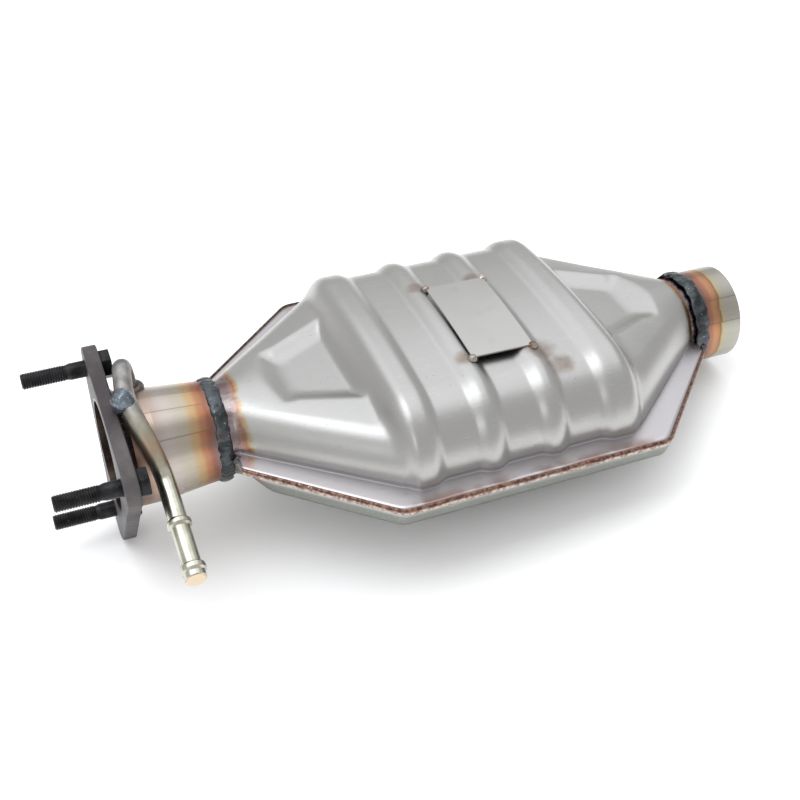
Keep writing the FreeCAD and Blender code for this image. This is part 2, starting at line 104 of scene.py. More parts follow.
class Wire:   # one output of a node; arithmetic on it adds Math nodes
    def __init__(self, sheet, socket):
        self.sheet = sheet
        self.socket = socket

    def math(self, operation, *values):
        inputs = dict(enumerate(values))
        return self.sheet.node("ShaderNodeMath", {"operation": operation}, inputs)

    def __add__(self, other):
        return self.math("ADD", self, other)

    def __radd__(self, other):
        return self.math("ADD", other, self)

    def __sub__(self, other):
        return self.math("SUBTRACT", self, other)

    def __rsub__(self, other):
        return self.math("SUBTRACT", other, self)

    def __mul__(self, other):
        return self.math("MULTIPLY", self, other)

    def __rmul__(self, other):
        return self.math("MULTIPLY", other, self)

    def __truediv__(self, other):
        return self.math("DIVIDE", self, other)

    def __rtruediv__(self, other):
        return self.math("DIVIDE", other, self)

    def absolute(self):
        return self.math("ABSOLUTE", self)

    def larger(self, other):
        return self.math("MAXIMUM", self, other)

    def turn(self, other):   # the angle of a point whose height is self and breadth is other
        return self.math("ARCTAN2", self, other)

    def band(self, middle, inner, outer):   # 1 within inner of the middle, 0 past outer
        return (self - middle).absolute().fade(outer, inner)

    def fade(self, low, high):   # 0 at low, 1 at high, eased; either may be the larger
        inputs = {"Value": self, "From Min": low, "From Max": high, "To Min": 0.0, "To Max": 1.0}
        settings = {"interpolation_type": "SMOOTHSTEP"}
        return self.sheet.node("ShaderNodeMapRange", settings, inputs)


class Finish:   # one material and its node tree
    def __init__(self, name):
        self.material = bpy.data.materials.new(name)
        self.material.use_nodes = True
        self.tree = self.material.node_tree
        self.tree.nodes.clear()
        self.place = self.node("ShaderNodeTexCoord", output="Object")

    def node(self, kind, settings=None, inputs=None, output=0):
        made = self.tree.nodes.new(kind)
        for key, value in (settings or {}).items():
            if key == "stops":
                self.setStops(made.color_ramp, value)
            else:
                setattr(made, key, value)
        for key, value in (inputs or {}).items():
            self.feed(made.inputs[key], value)
        return None if output is None else Wire(self, made.outputs[output])

    def feed(self, socket, value):
        if isinstance(value, Wire):
            self.tree.links.new(value.socket, socket)
        else:
            socket.default_value = value

    def setStops(self, ramp, stops):
        while len(ramp.elements) < len(stops):
            ramp.elements.new(0.5)
        for element, (position, colour) in zip(ramp.elements, stops):
            element.position = position
            element.color = colour

    def axes(self):
        split = self.tree.nodes.new("ShaderNodeSeparateXYZ")
        self.tree.links.new(self.place.socket, split.inputs[0])
        return [Wire(self, split.outputs[i]) for i in range(3)]

    def stretched(self, scale, turn=(0, 0, 0)):
        settings = {"vector_type": "POINT"}
        inputs = {"Vector": self.place, "Scale": scale, "Rotation": turn}
        return self.node("ShaderNodeMapping", settings, inputs)

    def cloud(self, scale, detail=3.0, roughness=0.55, vector=None):
        inputs = {"Vector": vector or self.place, "Scale": scale, "Detail": detail,
                  "Roughness": roughness}
        return self.node("ShaderNodeTexNoise", {}, inputs)

    def cells(self, scale):   # distance to the nearest of scattered points
        inputs = {"Vector": self.place, "Scale": scale}
        return self.node("ShaderNodeTexVoronoi", {"feature": "F1"}, inputs)

    def blend(self, share, under, over, mode="MIX"):
        settings = {"data_type": "RGBA", "blend_type": mode, "clamp_factor": True}
        return self.node("ShaderNodeMix", settings, {0: share, 6: under, 7: over}, output=2)

    def between(self, share, tones):   # from one display colour to another
        return self.blend(share, tone(*tones[0]), tone(*tones[1]))

    def ramp(self, share, stops, interpolation="LINEAR"):
        made = self.node("ShaderNodeValToRGB", {"stops": stops}, {0: share})
        made.socket.node.color_ramp.interpolation = interpolation
        return made

    def bump(self, height, distance, strength):
        inputs = {"Height": height, "Distance": distance, "Strength": strength}
        return self.node("ShaderNodeBump", {}, inputs)

    def near(self, point, inner, outer):   # 1 within inner of a point, 0 past outer
        settings = {"operation": "DISTANCE"}
        inputs = {0: self.place, 1: tuple(c * mm for c in point)}
        away = self.node("ShaderNodeVectorMath", settings, inputs, output="Value")
        return away.fade(outer * mm, inner * mm)

    def close(self, **sockets):   # the surface itself
        names = {"base": "Base Color", "rough": "Roughness", "metal": "Metallic",
                 "normal": "Normal", "specular": "Specular IOR Level"}
        inputs = {names[key]: value for key, value in sockets.items()}
        surface = self.node("ShaderNodeBsdfPrincipled", {}, inputs)
        self.node("ShaderNodeOutputMaterial", {}, {"Surface": surface}, output=None)
        return self.material


# the pressed half shells: a grid laid over the form, column by column along the gas path
shell = {
    "sheet": 1.5,
    "columns": 236, "stripRows": 6, "wallRows": 3, "cornerRows": 22, "crownRows": 45,
    "mouths": (45.5, 328.5),            # ends of the necks, inside the pipes
    "neckRadius": 23.7, "neckStraight": 2.0, "neckCrownAngle": 62.0,
    "chamber": (127.0, 248.7),          # top edges of the chamber's end walls
    "coneEnds": (124.0, 251.7),
    "chamberForm": (78.0, 37.0, 33.0, 497.0),   # half width, half height, corner and crown radii
    "coneForm": (76.0, 29.5, 23.0, 330.0),
    "endSlope": 1.48, "endEdge": 6.0, "endRoot": 2.5,
    "ribs": (138.0, 170.8, 203.6, 236.4),
    "barRadius": 8.5, "ribHeight": 3.0, "ribRoot": 2.4,
    "pocketStart": 34.0, "pocketEnd": 68.5,     # from the neck's end of the seam
    "pocketHalf": (13.5, 29.0), "pocketFloor": (20.8, 23.6),    # at its start and its end
    "pocketFlare": 2.1, "pocketRim": 1.4, "pocketFoot": 1.8,
    "seamEnds": (57.0, 315.5), "seamCorners": (118.5, 258.8), "seamHalf": 90.5,
    "seamEndHalf": (35.0, 32.5), "seamRound": 2.7,
    "rootRows": (-4, 8), "rootClear": 2.0, "rootPull": 0.5,   # rows smoothed about the root
    "noBar": -850.0,    # a bar's height beyond its reach, far below the form
    "neckLift": 0.3,    # from the middle plane up to the necks' edges
    "skew": 0.018,      # the ribs lie slightly askew
}


class Form:   # side wall, corner arc and crown of one cross-section
    def __init__(self, halfWidth, halfHeight, cornerRadius, crownRadius):
        self.halfWidth = halfWidth
        self.halfHeight = halfHeight
        self.cornerRadius = cornerRadius
        self.crownRadius = crownRadius
        self.cornerY = halfWidth - cornerRadius
        reach = crownRadius - cornerRadius
        self.crownZ = halfHeight - crownRadius
        self.cornerZ = self.crownZ + sqrt(reach ** 2 - self.cornerY ** 2)
        self.lean = asin(self.cornerY / reach)

    def at(self, part, share):   # a point and the direction that faces out of it
        if part == "wall":
            return self.halfWidth, self.cornerZ * share, 1.0, 0.0
        if part == "corner":
            angle = (pi / 2 - self.lean) * share
            y = self.cornerY + self.cornerRadius * cos(angle)
            return y, self.cornerZ + self.cornerRadius * sin(angle), cos(angle), sin(angle)
        angle = self.lean * (1 - share)
        y = self.crownRadius * sin(angle)
        return y, self.crownZ + self.crownRadius * cos(angle), sin(angle), cos(angle)


chamberForm = Form(*shell["chamberForm"])
coneForm = Form(*shell["coneForm"])


def neckPoint(part, share):
    wallTurn = atan2(coneForm.cornerZ, coneForm.halfWidth)
    crownTurn = radians(shell["neckCrownAngle"])
    stops = {"wall": (0, wallTurn), "corner": (wallTurn, crownTurn), "crown": (crownTurn, pi / 2)}
    angle = mix(*stops[part], share)
    return shell["neckRadius"] * cos(angle), shell["neckRadius"] * sin(angle)


def barHeight(away):   # how far a bar laid along the sheet stands out of it
    radius = shell["barRadius"]
    if abs(away) >= radius:
        return shell["noBar"]
    return sqrt(radius ** 2 - away ** 2) - radius + shell["ribHeight"]


def chamberLift(x):   # height over the chamber's own form: ribs up, end walls down
    start, end = shell["chamber"]
    first, last = shell["ribs"][0], shell["ribs"][-1]
    inside = min(x - start, end - x)
    lift = 0
    for rib in shell["ribs"]:
        beyond = (rib == first and x < rib) or (rib == last and x > rib)
        away = 0 if beyond else x - rib     # an end rib runs on into the end wall
        lift = softMax(lift, barHeight(away), shell["ribRoot"])
    return softMin(lift, inside * shell["endSlope"], shell["endEdge"])


def pocketHeight(fromNeck, y):   # the surface of the pocket pressed into a cone
    along = (fromNeck - shell["pocketStart"]) / (shell["pocketEnd"] - shell["pocketStart"])
    floor = mix(*shell["pocketFloor"], along)
    half = mix(*shell["pocketHalf"], max(along, 0))
    side = (abs(y) - half) / shell["pocketFlare"]
    front = (shell["pocketStart"] - fromNeck) / shell["pocketFlare"]
    return floor + softMax(softMax(side, front, shell["pocketFoot"]), 0, shell["pocketFoot"])


def formPoint(x, part, share):   # a point of the raised form's upper half
    end = 0 if x < (shell["chamber"][0] + shell["chamber"][1]) / 2 else 1
    fromNeck = abs(x - shell["seamEnds"][end])
    if (x < shell["seamEnds"][0]) or (x > shell["seamEnds"][1]):
        fromNeck = 0
    length = abs(shell["coneEnds"][end] - shell["seamEnds"][end]) - shell["neckStraight"]
    spread = clamp((fromNeck - shell["neckStraight"]) / length)
    neckY, neckZ = neckPoint(part, share)
    wideY, wideZ = coneForm.at(part, share)[:2]
    coneY = mix(neckY, wideY, spread)
    coneZ = mix(neckZ, wideZ, spread)
    coneZ = softMin(coneZ, pocketHeight(fromNeck, coneY), shell["pocketRim"])
    bodyY, bodyZ, outY, outZ = chamberForm.at(part, share)
    lift = chamberLift(x)
    bodyY, bodyZ = bodyY + outY * lift, bodyZ + outZ * lift
    ahead = (bodyY - coneY) * outY + (bodyZ - coneZ) * outZ
    slideY = bodyY - coneY - outY * ahead
    slideZ = bodyZ - coneZ - outZ * ahead
    weight = easeStep(-shell["endRoot"], shell["endRoot"], ahead)
    raised = softMax(0, ahead, shell["endRoot"])
    y = coneY + slideY * weight + outY * raised
    z = coneZ + slideZ * weight + outZ * raised
    return y, z


def seamHalfAt(x):
    ends, corners, half = shell["seamEnds"], shell["seamCorners"], shell["seamHalf"]
    rising = mix(shell["seamEndHalf"][0], half, (x - ends[0]) / (corners[0] - ends[0]))
    falling = mix(shell["seamEndHalf"][1], half, (ends[1] - x) / (ends[1] - corners[1]))
    return softMin(softMin(rising, half, shell["seamRound"]), falling, shell["seamRound"])


def shellPoint(x, row):   # row counts up from the edge of the seam to the middle of the crown
    strip, wall, corner = shell["stripRows"], shell["wallRows"], shell["cornerRows"]
    inSeam = shell["seamEnds"][0] <= x <= shell["seamEnds"][1]
    lowest = shell["sheet"] if inSeam else shell["neckLift"]
    top = formPoint(x, "crown", 1.0)[1]
    if row < strip:
        share = row / strip
        footY = formPoint(x, "wall", 0.0)[0]
        if inSeam:
            return mix(seamHalfAt(x), footY, share), lowest
        return footY, lowest * share
    if row < strip + wall:
        y, z = formPoint(x, "wall", (row - strip) / wall)
    elif row < strip + wall + corner:
        y, z = formPoint(x, "corner", (row - strip - wall) / corner)
    else:
        y, z = formPoint(x, "crown", (row - strip - wall - corner) / shell["crownRows"])
    return y, lowest + z * (1 - lowest / top)


def shellStations():   # places of the columns, with one on each end of the seam
    first, last = shell["mouths"]
    step = (last - first) / shell["columns"]
    stations = [first + step * i for i in range(shell["columns"] + 1)]
    for end in shell["seamEnds"]:
        nearest = min(range(len(stations)), key=lambda i: abs(stations[i] - end))
        stations[nearest] = end
    return stations


def makeHalfShell(name, side):
    rows = shell["stripRows"] + shell["wallRows"] + shell["cornerRows"] + shell["crownRows"]
    stations = shellStations()
    bm = bmesh.new()
    bmesh.ops.create_grid(bm, x_segments=shell["columns"], y_segments=2 * rows, size=1.0)
    root, creased = [], set()
    start = shell["seamEnds"][0] + shell["rootClear"]
    end = shell["seamEnds"][1] - shell["rootClear"]
    for vert in bm.verts:
        column = round((vert.co.x + 1) / 2 * shell["columns"])
        row = round((vert.co.y + 1) * rows)
        fromEdge = min(row, 2 * rows - row)
        x = stations[column]
        y, z = shellPoint(x, fromEdge)
        y = -y if row < rows else y
        middle = easeStep(shell["chamber"][0], shell["ribs"][0], x)
        middle *= easeStep(shell["chamber"][1], shell["ribs"][-1], x)
        vert.co = Vector((x + y * shell["skew"] * middle, y, z)) * mm
        if fromEdge == shell["stripRows"]:
            creased.add(vert)
        below, above = shell["rootRows"]
        if below <= fromEdge - shell["stripRows"] <= above and start < x < end:
            root.append(vert)
    bmesh.ops.smooth_vert(bm, verts=root, factor=shell["rootPull"], use_axis_y=True,
                          use_axis_z=True)
    for edge in bm.edges:
        edge.smooth = not all(vert in creased for vert in edge.verts)
    if side < 0:
        bmesh.ops.scale(bm, vec=(1, 1, -1), verts=bm.verts)
        bmesh.ops.reverse_faces(bm, faces=bm.faces)
    node = "upper_half_shell" if side > 0 else "lower_half_shell"
    return thicken(makePiece(name, bm, [node]), shell["sheet"], -1.0)


# the lip under the seam, turned down from the lower pressing
lip = {"top": 1.2, "drop": 8.4, "inset": 1.0, "tuck": 1.6, "sheet": 1.3, "runOut": 14.0,
       "endGap": 2.0, "columns": 260, "rows": 8}


def makeLip(name, side):
    bm = bmesh.new()
    start, end = shell["seamEnds"]

    def placeOf(along, down):
        x = mix(start + lip["endGap"], end - lip["endGap"], along)
        drop = lip["drop"] * easeStep(0, lip["runOut"], min(x - start, end - x))
        y = seamHalfAt(x) - lip["inset"] - lip["tuck"] * down * down
        return x, y * side, -lip["top"] - drop * down

    addSheet(bm, lip["columns"], lip["rows"], placeOf)
    return thicken(makePiece(name, bm), lip["sheet"], 0.0)


lips = [makeLip("nearLip", -1), makeLip("farLip", 1)]
upperShell = makeHalfShell("upperPressing", 1)
lowerShell = makeHalfShell("lowerPressing", -1)
print("half shells made")


# ring welds: lumpy beads with overlapping ripples, and a spatter blob at each seam end
ringWelds = {
    "inletBead": {"node": "inlet_pipe_weld", "middle": 53.0, "half": 3.5, "radius": 25.3,
                  "rise": 1.4, "seed": 3.7, "ripples": 46},
    "outletBead": {"node": "outlet_pipe_weld", "middle": 320.2, "half": 3.9, "radius": 25.3,
                   "rise": 1.4, "seed": 8.2, "ripples": 44},
    "around": 420, "across": 20, "bite": 0.7,
    "wander": ((2.3, 0.9), (9.0, 0.5)), "widthLumps": (6.0, 0.28),   # scale and size of lumps
    "riseLumps": (4.0, 0.5), "leastRise": 0.8, "rippleRise": 0.14, "rippleLean": 1.1,
    "grain": (14.0, 0.25), "blobLumps": (2.2, 0.25),
    "blobs": [((57.5, -26.6, -0.2), (2.4, 2.0, 2.0)), ((320.4, -27.0, -1.8), (1.7, 1.5, 1.7))],
}


def lump(y, z, scale, seed):
    return noise.noise(Vector((y * scale, z * scale, seed)))


def makeRingBead(name, bead):
    bm = bmesh.new()
    seed = bead["seed"]
    widthScale, widthSize = ringWelds["widthLumps"]
    riseScale, riseSize = ringWelds["riseLumps"]
    grainScale, grainSize = ringWelds["grain"]

    def placeOf(along, around):
        turn, side = 2 * pi * along, 2 * pi * around
        y, z = cos(turn), sin(turn)
        shift = sum(lump(y, z, scale, seed) * size for scale, size in ringWelds["wander"])
        width = bead["half"] * (1 + widthSize * lump(y, z, widthScale, seed + 4))
        across, up = cos(side), sin(side)
        ripple = abs(sin(turn * bead["ripples"] / 2 + ringWelds["rippleLean"] * across * across))
        rise = ringWelds["leastRise"] + riseSize * lump(y, z, riseScale, seed + 9)
        rise = bead["rise"] * rise + ringWelds["rippleRise"] * ripple
        rise += grainSize * lump(y, z, grainScale, across * 2 + seed)
        radius = bead["radius"] + (rise if up > 0 else ringWelds["bite"]) * up
        return bead["middle"] + shift + width * across, radius * y, radius * z

    addSheet(bm, ringWelds["around"], ringWelds["across"], placeOf)
    return makePiece(name, bm, [bead["node"]])


beadPieces = [makeRingBead(name, ringWelds[name]) for name in ("inletBead", "outletBead")]

bm = bmesh.new()
blobScale, blobSize = ringWelds["blobLumps"]
for place, radii in ringWelds["blobs"]:
    made = bmesh.ops.create_icosphere(bm, subdivisions=4, radius=1.0)["verts"]
    for vert in made:
        rough = 1 + blobSize * noise.noise(vert.co * blobScale + Vector(place))
        vert.co = (Vector(place) + Vector(c * r for c, r in zip(vert.co, radii)) * rough) * mm
weldBlobs = makePiece("weldBlobs", bm)

# flange bolts: hexagon head, plain shank, rolled thread
bolts = {
    "circle": 43.8, "angles": (48.0, 168.0, 288.0),      # from +Z towards +Y
    "shank": 4.15, "crest": 3.95, "valley": 3.45, "pitch": 1.25, "waist": 3.6,
    "tip": -31.0, "threadEnd": -11.0, "seat": 7.05, "headTop": 12.3, "headCorner": 7.5,
    "headTurn": 12.0, "headBevel": 0.5, "sink": 0.5,
    "fade": 1.5, "waistRun": 2.0, "tipCut": 0.4,    # thread's run-out, waist, chamfer at the tip
    "ridge": (1.6, 3.2, 0.8),                       # a thread's height, slope and rounding
    "around": 32, "along": 260,
}


def boltRadius(x, turn):
    bare = x - bolts["threadEnd"] - bolts["fade"]
    if bare > 0:
        return mix(bolts["waist"], bolts["shank"], clamp(bare / bolts["waistRun"]))
    peak, slope, rounding = bolts["ridge"]
    phase = (x / bolts["pitch"] - turn / (2 * pi)) % 1.0
    ridge = clamp(peak - abs(phase - 0.5) * slope) ** rounding
    depth = easeStep(bolts["threadEnd"] + bolts["fade"], bolts["threadEnd"], x)
    height = mix(bolts["waist"], mix(bolts["valley"], bolts["crest"], ridge), depth)
    return min(height, bolts["valley"] - bolts["tipCut"] + (x - bolts["tip"]))


def makeBolts():
    bm = bmesh.new()
    flat = bolts["tip"] + (bolts["seat"] - bolts["tip"]) / bolts["along"]    # the tip's end face
    for angle in bolts["angles"]:
        atY = bolts["circle"] * sin(radians(angle))
        atZ = bolts["circle"] * cos(radians(angle))

        def placeOf(along, around):
            x = mix(bolts["tip"], bolts["seat"] + bolts["sink"], along)
            turn = 2 * pi * around
            radius = 0 if along in (0.0, 1.0) else boltRadius(x, turn)
            x = max(x, flat)
            return x, atY + radius * cos(turn), atZ + radius * sin(turn)

        addSheet(bm, bolts["along"], bolts["around"], placeOf)
        height = bolts["headTop"] - bolts["seat"]
        at = Matrix.Translation(Vector((bolts["seat"] + height / 2, atY, atZ)) * mm)
        lay = Matrix.Rotation(radians(bolts["headTurn"]), 4, "X") @ Matrix.Rotation(pi / 2, 4, "Y")
        made = bmesh.ops.create_cone(bm, cap_ends=True, segments=6, depth=height * mm,
                                     radius1=bolts["headCorner"] * mm,
                                     radius2=bolts["headCorner"] * mm, matrix=at @ lay)["verts"]
        edges = list({edge for vert in made for edge in vert.link_edges})
        bmesh.ops.bevel(bm, geom=edges, offset=bolts["headBevel"] * mm, segments=2,
                        profile=0.5, affect="EDGES", material=-1)
    return makePiece("threadedBolts", bm, ["flange_bolts"])


boltPiece = makeBolts()

# sampling tube: out of the pipe, over a tack, down along it and out to the hose end
tube = {
    "route": [(17.0, 13.5, 22.0), (15.2, 17.0, 41.2), (11.8, -4.8, 35.2), (14.2, -17.3, 28.8),
              (17.9, -27.5, 19.3), (20.7, -32.9, 7.0), (20.7, -86.0, -10.8)],
    "bend": 13.0, "bendSteps": 12, "radius": 4.5, "step": 0.5, "around": 40,
    "bands": [(0.4, 3.9, 5.0), (4.0, 7.0, 6.0), (27.6, 30.4, 5.8)],   # start, end, radius
    "edge": 0.7, "plug": 4.7,
    "plugOutline": [(-0.6, 0.0), (-0.6, 0.97), (0.25, 1.0), (0.45, 0.96), (0.5, 0.85),
                    (0.52, 0.0)],       # lift and share of the plug's radius
}


# even steps along a route whose corners are rounded
def roundedRoute(corners, reach, bendSteps, step):
    corners = [Vector(corner) for corner in corners]
    path = [corners[0]]
    for before, corner, after in zip(corners, corners[1:], corners[2:]):
        back, ahead = before - corner, after - corner
        cut = min(reach, back.length / 2, ahead.length / 2)
        start, end = corner + back.normalized() * cut, corner + ahead.normalized() * cut
        for i in range(bendSteps + 1):
            share = i / bendSteps
            path.append(start.lerp(corner, share).lerp(corner.lerp(end, share), share))
    path.append(corners[-1])
    ends = [0.0]
    for a, b in zip(path, path[1:]):
        ends.append(ends[-1] + (b - a).length)
    steps = max(2, round(ends[-1] / step))
    even, piece = [], 0
    for i in range(steps + 1):
        goal = ends[-1] * i / steps
        while piece < len(path) - 2 and ends[piece + 1] < goal:
            piece += 1
        share = clamp((goal - ends[piece]) / max(ends[piece + 1] - ends[piece], 1e-6))
        even.append(path[piece].lerp(path[piece + 1], share))
    return even


def tubeRadius(fromEnd):   # the pipe, with its raised bands
    radius = tube["radius"]
    for start, end, raised in tube["bands"]:
        inside = min(fromEnd - start, end - fromEnd)
        share = clamp(inside / tube["edge"] + 0.5)
        radius = max(radius, mix(tube["radius"], raised, sqrt(1 - (1 - share) ** 2)))
    return radius


def makeTube():
    path = roundedRoute(tube["route"], tube["bend"], tube["bendSteps"], tube["step"])
    length = (len(path) - 1) * tube["step"]
    frames, side = [], Vector((1, 0, 0))
    for i, point in enumerate(path):
        heading = (path[min(i + 1, len(path) - 1)] - path[max(i - 1, 0)]).normalized()
        side = (side - heading * side.dot(heading)).normalized()
        frames.append((point, side, heading.cross(side)))
    bm = bmesh.new()

    def placeOf(along, around):
        row = round(along * (len(path) - 1))
        point, side, other = frames[row]
        turn = 2 * pi * around
        last = row in (0, len(path) - 1)
        radius = 0 if last else tubeRadius(length * (1 - along))
        return point + (side * cos(turn) + other * sin(turn)) * radius

    addSheet(bm, len(path) - 1, tube["around"], placeOf)
    piece = makePiece("bentTube", bm, ["sampling_tube"])
    point, side, other = frames[-1]
    heading = side.cross(other)
    outline = tube["plugOutline"]
    bm = bmesh.new()

    def plugPlace(along, around):
        lift, share = outline[round(along * (len(outline) - 1))]
        turn = 2 * pi * around
        outward = side * cos(turn) + other * sin(turn)
        return point + heading * lift + outward * (share * tube["plug"])

    addSheet(bm, len(outline) - 1, tube["around"], plugPlace)
    return piece, makePiece("hosePlug", bm, ["tube_end_plug"])


tubePiece, plugPiece = makeTube()

# the blob of weld that tacks the tube to the flange
nugget = {"place": (10.3, -8.2, 35.2), "radii": (5.5, 5.6, 6.7), "seed": (4, 1, 2),
          "lumps": (1.7, 0.14), "grain": (7.0, 0.03)}      # scale and size of each
lumpScale, lumpSize = nugget["lumps"]
grainScale, grainSize = nugget["grain"]
bm = bmesh.new()
for vert in bmesh.ops.create_icosphere(bm, subdivisions=5, radius=1.0)["verts"]:
    swell = 1 + lumpSize * noise.noise(vert.co * lumpScale + Vector(nugget["seed"]))
    swell += grainSize * noise.noise(vert.co * grainScale)
    offset = Vector(c * r for c, r in zip(vert.co, nugget["radii"])) * swell
    vert.co = (Vector(nugget["place"]) + offset) * mm
tackPiece = makePiece("tubeTack", bm, ["tube_tack_weld"])
print("beads, bolts and tube made")


# satin steel with a fine grain, cloudy tone, heat tints, specks and rust smears; painted highlight
# and painted shade along the seam
steel = {
    "tone": (191, 190, 188), "rough": 0.34,
    "inletTint": (59.0, 68.0), "outletTint": (315.0, 308.5),      # full tint, none
    "tints": [(0.0, (190, 189, 186)), (0.2, (190, 180, 150)), (0.42, (182, 150, 120)),
              (0.64, (160, 112, 84)), (0.82, (158, 128, 120)), (1.0, (132, 114, 114))],
    "rust": [((209.0, -42.0, 38.0), 15.0), ((215.0, -54.0, 37.0), 13.0),
             ((172.0, 27.0, 39.0), 9.0), ((170.0, -38.0, 38.0), 8.0),
             ((203.0, 25.0, 39.0), 9.0)],       # place and radius of each smear
    # the strip tone is the seam flat's lilac tint, lightened by a painted highlight
    "rustTones": ((112, 86, 72), (158, 134, 112)), "stripTintAndHighlightTone": (232, 227, 232),
    # the crease tone is painted shade at the root of the wall
    # the tone used below the seam is painted shade
    "belowSeamShadeTone": (128, 132, 124), "rootShadeTone": (104, 100, 96), "edgeTone": (150, 118, 104),
    "speckTone": (96, 88, 82), "scratchTone": (236, 236, 240),
    "wander": 11.0,         # how far the heat tints' edges stray
}
pipes = {
    "seamTone": (112, 92, 80), "drawnTone": (150, 140, 132), "pitTone": (62, 52, 48),
    "inlet": {"span": (0.0, 60.0), "seams": (1.235, 0.70), "rough": 0.30,
              "tints": [(7, (78, 58, 50)), (12, (140, 102, 82)), (18, (186, 164, 150)),
                        (27, (206, 196, 190)), (35, (198, 190, 170)), (40, (206, 168, 116)),
                        (43.5, (188, 120, 78)), (47, (146, 84, 62)), (50, (118, 92, 104)),
                        (54, (90, 80, 92))]},
    "outlet": {"span": (315.0, 345.0), "seams": (0.91, 0.40), "rough": 0.34,
               "tints": [(322, (110, 86, 88)), (325, (168, 108, 84)), (328, (200, 142, 100)),
                         (330, (190, 132, 88)), (331.2, (150, 112, 74)), (332.4, (198, 184, 140)),
                         (335, (186, 184, 172)), (343, (190, 188, 180))]},
}


def varied(base, spread):   # a darker and a lighter form of a colour
    return [tuple(min(c * share, 1) for c in base[:3]) + (1,) for share in (1 - spread, 1 + spread)]


def steelGrain(finish, colour, rough):   # grained colour, roughness, and the grain itself
    cloud = finish.cloud(22.0, 4.0)
    fine = finish.cloud(900.0, 2.0)
    streak = finish.cloud(60.0, 4.0, vector=finish.stretched((1.0, 14.0, 1.0), (0, 0, 0.5)))
    shade = (cloud - 0.5) * 0.35 + (fine - 0.5) * 0.22 + (streak - 0.5) * 0.18 + 0.5
    dark, light = varied(tone(255, 255, 255), 0.16)
    shaded = finish.blend(shade, dark, light)
    colour = finish.blend(1.0, colour, shaded, "MULTIPLY")
    return colour, (cloud - 0.5) * 0.14 + (fine - 0.5) * 0.16 + rough, fine


def makeShellSteel():   # satin, tinted at both ends, marked along the seam and the ribs; painted highlight on the seam's flat, painted shade at its root and below it
    finish = Finish("pressedSteel")
    x, y, z = finish.axes()
    ragged = finish.cloud(70.0, 4.0, vector=finish.stretched((0.35, 1.0, 1.0))) - 0.5
    wander = ragged * (steel["wander"] * mm)
    inlet = (x + wander).fade(steel["inletTint"][1] * mm, steel["inletTint"][0] * mm)
    outlet = (x + wander * 0.5).fade(steel["outletTint"][1] * mm, steel["outletTint"][0] * mm)
    heat = inlet.larger(outlet)
    heatTone = finish.ramp(heat, [(at, tone(*colour)) for at, colour in steel["tints"]])
    patchy = finish.cloud(120.0, 3.0, vector=finish.stretched((0.3, 1.0, 1.0))).fade(0.30, 0.55)
    heated = heat.fade(0.02, 0.3) * (patchy * 0.6 + 0.4)
    colour = finish.blend(heated, tone(*steel["tone"]), heatTone)
    # painted highlight: the flat of the seam is blended towards a near-white lilac grey, partly its
    # own tint and partly painted highlight
    strip = z.absolute().fade(4.0 * mm, 1.8 * mm)       # the flat of the seam
    colour = finish.blend(strip * 0.75, colour, tone(*steel["stripTintAndHighlightTone"]))
    # painted shade: below the seam the lower pressing and the lips are darkened to a grey-green
    shadeUnderSeam = z.fade(-1.5 * mm, -5 * mm)
    colour = finish.blend(shadeUnderSeam * 0.85, colour, tone(*steel["belowSeamShadeTone"]))
    # painted shade: a dark line along the root of the wall, just above the seam's flat
    crease = z.band(2.6 * mm, 0.5 * mm, 1.6 * mm)
    colour = finish.blend(crease * 0.45, colour, tone(*steel["rootShadeTone"]))
    edge = y.absolute().fade(82 * mm, 90 * mm) * strip * finish.cloud(40.0).fade(0.42, 0.62)
    colour = finish.blend(edge * 0.8, colour, tone(*steel["edgeTone"]))
    specks = finish.cells(260.0).fade(0.10, 0.04) * finish.cloud(30.0).fade(0.52, 0.62)
    colour = finish.blend(specks * 0.6, colour, tone(*steel["speckTone"]))
    patch = None
    for place, size in steel["rust"]:
        spot = finish.near(place, size * 0.2, size)
        patch = spot if patch is None else patch.larger(spot)
    patch = patch * z.fade(0, 20 * mm)
    blotch = (finish.cloud(95.0, 6.0, 0.65) * 0.7 + patch * 0.5).fade(0.45, 1.0)
    blotch = blotch * patch.fade(0.02, 0.4)
    rust = finish.between(finish.cloud(300.0), steel["rustTones"])
    colour = finish.blend(blotch * 0.65, colour, rust)
    scratch = finish.cloud(18.0, 2.0, vector=finish.stretched((1.0, 26.0, 26.0), (0, 0.2, 0.9)))
    scratch = scratch.band(0.5, 0.002, 0.006)
    colour = finish.blend(scratch * 0.25, colour, tone(*steel["scratchTone"]))
    colour, roughness, fine = steelGrain(finish, colour, steel["rough"])
    roughness = roughness + blotch * 0.2 - heat * 0.08
    bump = finish.bump(fine, 0.04 * mm, 0.5)
    return finish.close(base=colour, rough=roughness, metal=1.0, normal=bump)


